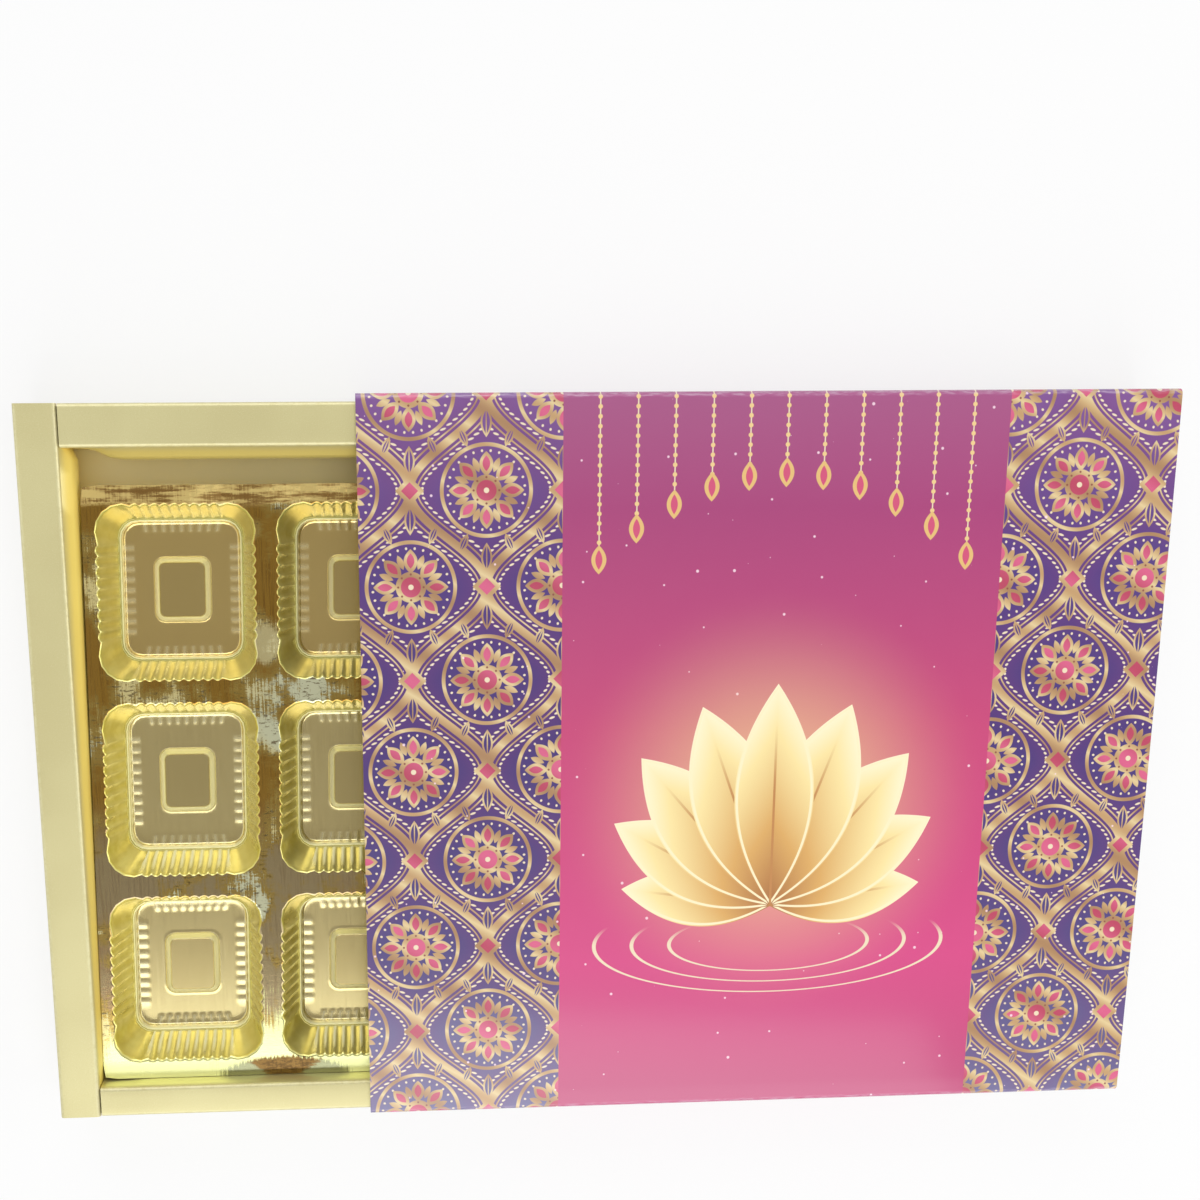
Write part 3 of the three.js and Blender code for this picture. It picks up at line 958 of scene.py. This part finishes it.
def cellRings():  # a cell's rings from the flange to the boss, how much painted highlight their points get, and the hidden side
    form = insertForm
    cusp, rib = fluteShape()
    cell = form["cellLength"], form["cellWidth"]
    boss = form["bossLength"], form["bossWidth"]
    rings = []
    highlightShares = [np.zeros(len(cusp))]
    for inset, radius, depth, fluteShare, ribIn, ribUp in cellProfile:
        points, outward = cellOutline(cell[0] / 2 - inset * mm, cell[1] / 2 - inset * mm, radius * mm)
        inward = cusp * fluteShare * form["fluteDepth"] + rib * ribIn * mm
        depths = -(depth * mm - rib * ribUp * mm)
        rings.append(np.column_stack([points - outward * inward[:, None], depths]))
        highlightShares.append(cusp * (fluteShare > 0) + rib * (ribUp > 0) * form["ribHighlight"])
    rings += plainRings(*boss, bossProfile)
    highlightShares += [np.zeros(len(cusp)) for _ in bossProfile]
    for ring, share in brightRings.items():
        highlightShares[ring] += share
    under = plainRings(*cell, underProfile) + plainRings(*boss, underBoss)
    return rings, highlightShares, under


def makeInsert():
    form = insertForm
    low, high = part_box("cavity_insert")
    centreX, centreY = (low.x + high.x) / 2, (low.y + high.y) / 2
    pitchX, pitchY = form["cellLength"] + form["gapX"], form["cellWidth"] + form["gapY"]
    middlesX = [centreX + (column - (form["columns"] - 1) / 2) * pitchX for column in range(form["columns"])]
    middlesY = [centreY + (row - (form["rows"] - 1) / 2) * pitchY for row in range(form["rows"])]
    sheet = bmesh.new()
    # share of painted highlight at each point
    highlightLayer = sheet.verts.layers.float.new("crest")
    rings, highlightShares, under = cellRings()
    for x, y in [(x, y) for x in middlesX for y in middlesY]:
        left, right = x - pitchX / 2, x + pitchX / 2
        bottom, top = y - pitchY / 2, y + pitchY / 2
        left = low.x if left - low.x < form["gapX"] else left
        right = high.x if high.x - right < form["gapX"] else right
        bottom = low.y if bottom - low.y < form["gapY"] else bottom
        top = high.y if high.y - top < form["gapY"] else top
        tile = tileOutline(left, right, bottom, top)
        border = np.column_stack([roundedFlange(tile, low, high), np.full(len(tile), high.z)])
        above = [border] + [ring + (x, y, high.z) for ring in rings]
        below = [border - (0, 0, form["sheet"])] + [ring + (x, y, high.z) for ring in under]
        upper, lower = addCell(sheet, above, below)
        for ring, crest in zip(upper, highlightShares):
            for vert, share in zip(ring, crest):
                vert[highlightLayer] = share
        addEdge(sheet, upper[0], lower[0], tile, low, high)
    bmesh.ops.remove_doubles(sheet, verts=sheet.verts, dist=form["weld"])
    for vert in sheet.verts:
        vert.co.x += (vert.co.y - centreY) * form["lean"]
        vert.co.y -= max(0, vert.co.y - form["backRow"]) * form["squeeze"]
    mesh = bpy.data.meshes.new("formedInsert")
    sheet.to_mesh(mesh)
    sheet.free()
    mesh.set_sharp_from_angle(angle=form["sharpAngle"])
    mesh.polygons.foreach_set("use_smooth", [len(face.vertices) == 4 for face in mesh.polygons])
    piece = newPiece("formedInsert", mesh)
    dress(piece, [goldSheet(high.z / mm)], "tray", "cavity_insert")
    print("insert:", len(mesh.polygons), "faces")


def roundedFlange(points, low, high):  # the sheet's four outer corners, rounded
    radius = insertForm["flangeRadius"]
    rounded = points.copy()
    for point in rounded:
        x = min(max(point[0], low.x + radius), high.x - radius)
        y = min(max(point[1], low.y + radius), high.y - radius)
        away = math.hypot(point[0] - x, point[1] - y)
        if point[0] != x and point[1] != y and away > radius:
            point[0] = x + (point[0] - x) * radius / away
            point[1] = y + (point[1] - y) * radius / away
    return rounded


def addCell(sheet, above, below):  # both skins of one cell with its part of the flange
    count = len(above[0])
    upper = [[sheet.verts.new(point) for point in ring] for ring in above]
    lower = [[sheet.verts.new(point) for point in ring] for ring in below]
    for skin, flip in ((upper, False), (lower, True)):
        for outerRing, innerRing in zip(skin, skin[1:]):
            for spot in range(count):
                ahead = (spot + 1) % count
                corners = (outerRing[spot], outerRing[ahead], innerRing[ahead], innerRing[spot])
                sheet.faces.new(reversed(corners) if flip else corners)
        sheet.faces.new(reversed(skin[-1]) if flip else skin[-1])
    return upper, lower


def addEdge(sheet, upper, lower, tile, low, high):  # the sheet's cut edge, where the tile ends at it
    for spot in range(len(tile)):
        ahead = (spot + 1) % len(tile)
        pair = tile[[spot, ahead]]
        gaps = [abs(pair[:, axis] - corner[axis]).max() for axis in (0, 1) for corner in (low, high)]
        if min(gaps) < tiny:
            sheet.faces.new((upper[ahead], upper[spot], lower[spot], lower[ahead]))


goldForm = {  # depths below the flange, places and sizes of lumps in millimetres; inks as shares of light
    "flangeDepth": (0.1, 0.02),
    "floorDepth": (11.4, 11.7),
    "beadDepth": 11.09,
    "beadEdge": (0.15, 0.03),
    "capEdge": (0.14, 0.05),
    "crossing": ((-106, 18.5), (18, 5)),  # middle and half sizes of a spot of painted reflection
    # a painted highlight spot
    "paintedGlint": ((-114, 29.5), (3.5, 5)),
    # a painted dark reflection patch along the front
    "hollow": ((-113, -75.5), (15.5, 5)),
    "hollowTop": -73,
    "hollowSlope": 1.4,
    "hollowHalf": (6, 8),  # half width of its brown part, and where that has gone
    "mauveRows": (-5, -22),  # Y where a tint starts, and where it is full
    "farWalls": (12, 24),
    "farFloors": (15, 25),
    "litRows": (28, 12),
    "litDepth": (0, 7),
    "backMargin": (59.6, 61.0),
    "backRagged": 5,
    "frontMargin": (-57, -64),
    "frontRagged": (14, 46),
    "frontLip": (-70, -72.5),
    "patchSize": 14.0,
    "tintSize": 27.0,
    "smearSize": 1.7,
    "mottleSize": 3.0,
    "hairlineSize": 0.3,
    "crackleSize": 0.8,
    "reliefDepth": 0.03 * mm,  # in metres
    "brownInks": ((0.44, 0.26, 0.05, 1), (0.34, 0.19, 0.035, 1)),
    "mauveInks": ((0.45, 0.31, 0.17, 1), (0.47, 0.4, 0.24, 1)),
    "hairlineReflectionInk": (0.33, 0.23, 0.12, 1),
    "tanInk": (0.5, 0.36, 0.1, 1),
    "lightInks": ((0.82, 0.72, 0.34, 1), (0.74, 0.76, 0.52, 1)),
    "crackleReflectionInk": (0.13, 0.08, 0.03, 1),
    "paintedGlintInk": (0.92, 0.84, 0.46, 1),
    "rustInks": ((0.78, 0.6, 0.22, 1), (0.42, 0.24, 0.07, 1)),
    "lemonInk": (0.84, 0.87, 0.42, 1),
    "shadeInks": ((0.21, 0.125, 0.04, 1), (0.12, 0.07, 0.025, 1)),
    "mintInk": (0.3, 0.31, 0.18, 1),
    "wallInks": ((0.66, 0.57, 0.12, 1), (0.76, 0.68, 0.2, 1)),
    "wallPaintedLightInk": (0.94, 0.9, 0.46, 1),
    "wallPaintedShadeInk": (0.56, 0.47, 0.1, 1),
    "wallFarInk": (0.56, 0.55, 0.22, 1),
    "streakHighlightInk": (0.98, 0.98, 0.7, 1),
    "floorInks": ((0.67, 0.57, 0.28, 1), (0.71, 0.61, 0.31, 1)),
    "floorFarInk": (0.7, 0.54, 0.22, 1),
    "capInk": (0.56, 0.45, 0.19, 1),
    "floorHighlightInk": (0.97, 0.96, 0.7, 1),
    "beadHighlightInk": (0.97, 0.96, 0.68, 1),
}


def reflectionSpot(x, y, middle, halves):  # 0 in the middle of a spot of painted reflection, 1 on its outline
    return reach((x - middle[0]) / halves[0], (y - middle[1]) / halves[1])


def flangeReflectionPaint(place, x, y, hairline, crackle):  # the flat sheet's colour, mirror and dullness; its brown, mauve, tan, mint and light patches, hairlines and dark crackle are painted reflection
    form = goldForm
    fine, coarse = hairline - 0.5, crackle - 0.5
    patch = grain(stretched(place, (1, 0.8, 1)), form["patchSize"], 3.0, 0.55)
    tint = grain(place, form["tintSize"], 1.0)
    smear = grain(stretched(place, (0.14, 1, 1)), form["smearSize"], 4.0, 0.7) + fine * 0.2
    # a painted reflection where the rows and columns cross
    crossing = ease(reflectionSpot(x, y, *form["crossing"]), 1.3, 0.4)
    nearFront = ease(y, *form["mauveRows"])
    ragged = patch + fine * 0.2 + coarse * 0.2 + crossing * 0.08 - nearFront * 0.04
    light = layInk(ease(tint, 0.46, 0.54), *form["lightInks"])
    mauve = layInk(ease(tint + coarse * 0.3, 0.42, 0.58), *form["mauveInks"])
    # painted reflection streaks along the hairlines
    mauve = layInk(ease(hairline, 0.5, 0.68) * 0.5, mauve, form["hairlineReflectionInk"])
    brown = layInk(ease(hairline, 0.46, 0.62), *form["brownInks"])
    brown = layInk(nearFront * 0.85, brown, mauve)
    colour = layInk(ease(ragged, 0.47, 0.54), brown, form["tanInk"])
    colour = layInk(ease(ragged, 0.56, 0.6), colour, light)
    # painted dark reflection along the crackle
    crackleReflection = ease(crackle, 0.56, 0.62) * ease(ragged, 0.5, 0.58)
    colour = layInk(crackleReflection * 0.8, colour, form["crackleReflectionInk"])
    # painted highlight: a pale glint on the flange
    paintedGlint = ease(reflectionSpot(x, y, *form["paintedGlint"]) + fine * 1.2 + coarse * 0.6, 1.1, 0.7)
    colour = layInk(paintedGlint * 0.9, colour, form["paintedGlintInk"])
    # pale gold with rust along the back
    back = ease(y + (smear - 0.5) * form["backRagged"], *form["backMargin"])
    rust = layInk(ease(smear, 0.4, 0.64), *form["rustInks"])
    colour = layInk(back, colour, rust)
    # painted reflection along the front: lemon where it mirrors light, with one dark brown patch and mint at
    # its slanted ends
    fineRagged, patchRagged = form["frontRagged"]
    front = ease(y + fine * fineRagged + (patch - 0.5) * patchRagged, *form["frontMargin"])
    colour = layInk(front, colour, form["lemonInk"])
    # painted dark reflection patch: brown, with mint towards its slanted ends
    slant = abs(x - form["hollow"][0][0]) - (y - form["hollowTop"]) * form["hollowSlope"] + coarse * 6
    shade = layInk(ease(crackle + fine * 0.3, 0.4, 0.62), *form["shadeInks"])
    shade = layInk(ease(slant, *form["hollowHalf"]), shade, form["mintInk"])
    hollow = ease(reflectionSpot(x, y, *form["hollow"]) + fine * 0.5, 1.05, 0.9)
    colour = layInk(hollow, colour, shade)
    mirror = ease(ragged, 0.62, 0.54)
    lip = ease(y, *form["frontLip"]) * (1 - hollow)
    dull = most(back * ease(smear, 0.6, 0.45) * 0.8, lip * 0.9)
    return colour, mirror, dull


def wallColourAndLight(root, place, y, depth, crest, floor):  # colour of the cells' walls with painted light and shade, and their painted highlight streaks
    form = goldForm
    facing = root.node("ShaderNodeNewGeometry", {}, {}, "Normal")
    towardsBack = facing.node("ShaderNodeSeparateXYZ", {}, {0: facing}, "Y")
    colour = layInk(ease(grain(place, form["mottleSize"]), 0.3, 0.7), *form["wallInks"])
    # painted light and shade: walls that face the back are painted paler, walls that face the front darker
    colour = layInk(ease(towardsBack, 0.1, 0.9) * 0.38, colour, form["wallPaintedLightInk"])
    colour = layInk(ease(towardsBack, -0.1, -0.9) * 0.4, colour, form["wallPaintedShadeInk"])
    colour = layInk(ease(y, *form["farWalls"]) * 0.35, colour, form["wallFarInk"])
    # painted highlight streaks on the flute cusps, strongest low on walls that face the back in the front
    # rows
    lit = ease(towardsBack, 0.4, 0.8) * ease(depth, *form["litDepth"]) * ease(y, *form["litRows"])
    highlightStreak = ease(crest, 0.15, 0.85) * (0.08 + lit * 0.9) * (1 - floor)
    return layInk(highlightStreak, colour, form["streakHighlightInk"]), highlightStreak


def floorColourAndHighlights(y, depth, crest, hairline):  # colour of the basins and their bosses, with painted highlights on the ribs, below the bead and round the boss
    form = goldForm
    colour = layInk(ease(hairline, 0.3, 0.7), *form["floorInks"])
    colour = layInk(ease(y, *form["farFloors"]), colour, form["floorFarInk"])
    cap = ease(abs(depth - bossProfile[-1][2]), *form["capEdge"])
    colour = layInk(cap * 0.45, colour, form["capInk"])
    # painted highlight
    return layInk(crest * 0.9, colour, form["floorHighlightInk"])


def goldSheet(flangeTop):
    form = goldForm
    material, root, shader = newSurface("goldSheet")
    place = placeOf(root)
    x = place.node("ShaderNodeSeparateXYZ", {}, {0: place}, "X")
    y = x.other("Y")
    depth = flangeTop - x.other("Z")
    flange = ease(depth, *form["flangeDepth"])
    floor = ease(depth, *form["floorDepth"])
    bead = ease(abs(depth - form["beadDepth"]), *form["beadEdge"])
    crest = root.node("ShaderNodeAttribute", {"attribute_name": "crest"}, {}, "Fac")
    hairline = grain(stretched(place, (1, 0.03, 1)), form["hairlineSize"], 2.0, 0.6)
    crackle = grain(stretched(place, (0.45, 1.5, 1)), form["crackleSize"], 3.0, 0.7)
    flangeInk, mirror, flangeDull = flangeReflectionPaint(place, x, y, hairline, crackle)
    wallInk, highlightStreak = wallColourAndLight(root, place, y, depth, crest, floor)
    floorInk = floorColourAndHighlights(y, depth, crest, hairline)
    colour = layInk(floor, wallInk, floorInk)
    # painted highlight along the bead
    colour = layInk(bead * 0.7, colour, form["beadHighlightInk"])
    colour = layInk(flange, colour, flangeInk)
    cellDull = most(most(highlightStreak, bead * 0.6), crest * floor * 1.3)
    dull = cellDull * (1 - flange) + flangeDull * flange
    shine = most(flange * mirror, floor)
    height = hairline * 0.5 * (flange * 0.8 + 0.2) + crackle * 0.5 * (flange * 0.9 + 0.1)
    root.feed(shader, {
        "Base Color": colour,
        "Metallic": 0.64 + shine * 0.26 - dull * 0.5,
        "Roughness": 0.22 - flange * 0.1 - floor * 0.06 + hairline * 0.04 + dull * 0.12,
        "Normal": relief(height, form["reliefDepth"], 0.5),
    })
    return material


# Camera, light and floor

cameraForm = {
    "place": (-0.0930, 0.0660, 0.3671),
    "turn": (-0.2271, -0.0571, -0.0220),
    "lens": 45.95,
    "sensor": (27, 36),  # the height sets the picture, the narrow width leaves room in other views
    "shift": (0.125, 0.1917),
    "clipStart": 0.01,
}
stageForm = {
    "floorDrop": 0.2 * mm,
    "floorHalf": 4.0,
    "floorInk": (0.86, 0.86, 0.86, 1),
    "floorGlow": 0.72,  # share of pure white beside the box, all of it far away
    "whiteFrom": (0.25, 0.75),
    "plainLevel": 0.22,  # light on dull surfaces, from all round and from overhead
    "plainOverhead": 2.2,
    "plainRise": (0.8, 0.97),
    "dimInk": (0.34, 0.31, 0.27, 1),  # dim room above the camera, as shiny surfaces mirror it
    "dimRise": (0.55, 0.75),
    "dimFront": (-0.425, -0.345),
    "dimBack": (0.6, 0.35),
    "dimSides": (0.62, 0.45),
    "keyLamp": {"place": (-0.05, -0.84, 0.78), "size": 1.05, "watts": 6.0},
    "backLamp": {"place": (-0.25, 0.95, 0.55), "size": 0.8, "watts": 3.5},
    "sideLamp": {"place": (1.0, 0.0, 0.42), "size": 0.7, "watts": 3.2},
}


def makeCamera():
    form = cameraForm
    camera = bpy.data.objects.new("camera", bpy.data.cameras.new("camera"))
    bpy.context.scene.collection.objects.link(camera)
    camera.location = form["place"]
    camera.rotation_mode = "ZYX"
    camera.rotation_euler = form["turn"]
    camera.data.lens = form["lens"]
    camera.data.sensor_fit = "VERTICAL"
    camera.data.sensor_width, camera.data.sensor_height = form["sensor"]
    camera.data.shift_x, camera.data.shift_y = form["shift"]
    camera.data.clip_start = form["clipStart"]
    bpy.context.scene.camera = camera


def seenDirectly(root):  # 1 for what the camera, a mirror or glass shows
    camera = root.node("ShaderNodeLightPath", {}, {}, "Is Camera Ray")
    return most(most(camera, camera.other("Is Glossy Ray")), camera.other("Is Transmission Ray"))


def makeLamp(name, form):
    lamp = bpy.data.objects.new(name, bpy.data.lights.new(name, "AREA"))
    bpy.context.scene.collection.objects.link(lamp)
    lamp.location = form["place"]
    lamp.data.size = form["size"]
    lamp.data.energy = form["watts"]
    lamp.rotation_euler = lamp.location.to_track_quat("Z", "Y").to_euler()


def makeWorld():
    form = stageForm
    world = bpy.data.worlds.new("studio")
    bpy.context.scene.world = world
    world.use_nodes = True
    root = Wire(world.node_tree)
    direction = root.node("ShaderNodeTexCoord", {}, {}, "Generated")
    rise = direction.node("ShaderNodeSeparateXYZ", {}, {0: direction}, "Z")
    forward = rise.other("Y")
    sideways = abs(rise.other("X"))
    dim = ease(rise, *form["dimRise"]) * ease(sideways, *form["dimSides"])
    dim = dim * ease(forward, *form["dimFront"]) * ease(forward, *form["dimBack"])
    room = layInk(dim, (1, 1, 1, 1), form["dimInk"])
    level, above = form["plainLevel"], form["plainOverhead"]
    plain = layInk(ease(rise, *form["plainRise"]), (level, level, level, 1), (above, above, above, 1))
    colour = layInk(seenDirectly(root), plain, room)
    root.feed(world.node_tree.nodes["Background"], {"Color": colour, "Strength": 1.0})


def makeStage():
    form = stageForm
    bpy.context.scene.view_settings.view_transform = "Standard"
    makeWorld()
    half, drop = form["floorHalf"], form["floorDrop"]
    mesh = bpy.data.meshes.new("floor")
    corners = [(x * half, y * half, -drop) for x, y in ((-1, -1), (1, -1), (1, 1), (-1, 1))]
    mesh.from_pydata(corners, [], [(0, 1, 2, 3)])
    floor = newPiece("floor", mesh)
    material, root, shader = newSurface("floor")
    root.feed(shader, {"Base Color": form["floorInk"], "Roughness": 0.9, "Specular IOR Level": 0.0})
    glow = root.node("ShaderNodeEmission", {}, {"Color": (1, 1, 1, 1), "Strength": 1.0})
    place = root.node("ShaderNodeTexCoord", {}, {}, "Object")
    away = place.node("ShaderNodeVectorMath", {"operation": "LENGTH"}, {0: place}, "Value")
    white = form["floorGlow"] + ease(away, *form["whiteFrom"]) * (1 - form["floorGlow"])
    paper = Wire(material.node_tree, shader.outputs[0])
    mixed = root.node("ShaderNodeMixShader", {}, {0: seenDirectly(root) * white, 1: paper, 2: glow})
    root.feed(material.node_tree.nodes["Material Output"], {"Surface": mixed})
    mesh.materials.append(material)
    for name in ("keyLamp", "backLamp", "sideLamp"):
        makeLamp(name, form[name])


makeCamera()
makeStage()
print("camera, light and floor made")
makeSleeve()
print("sleeve made")
makeTray()
print("tray made")
makeInsert()
print("insert made")
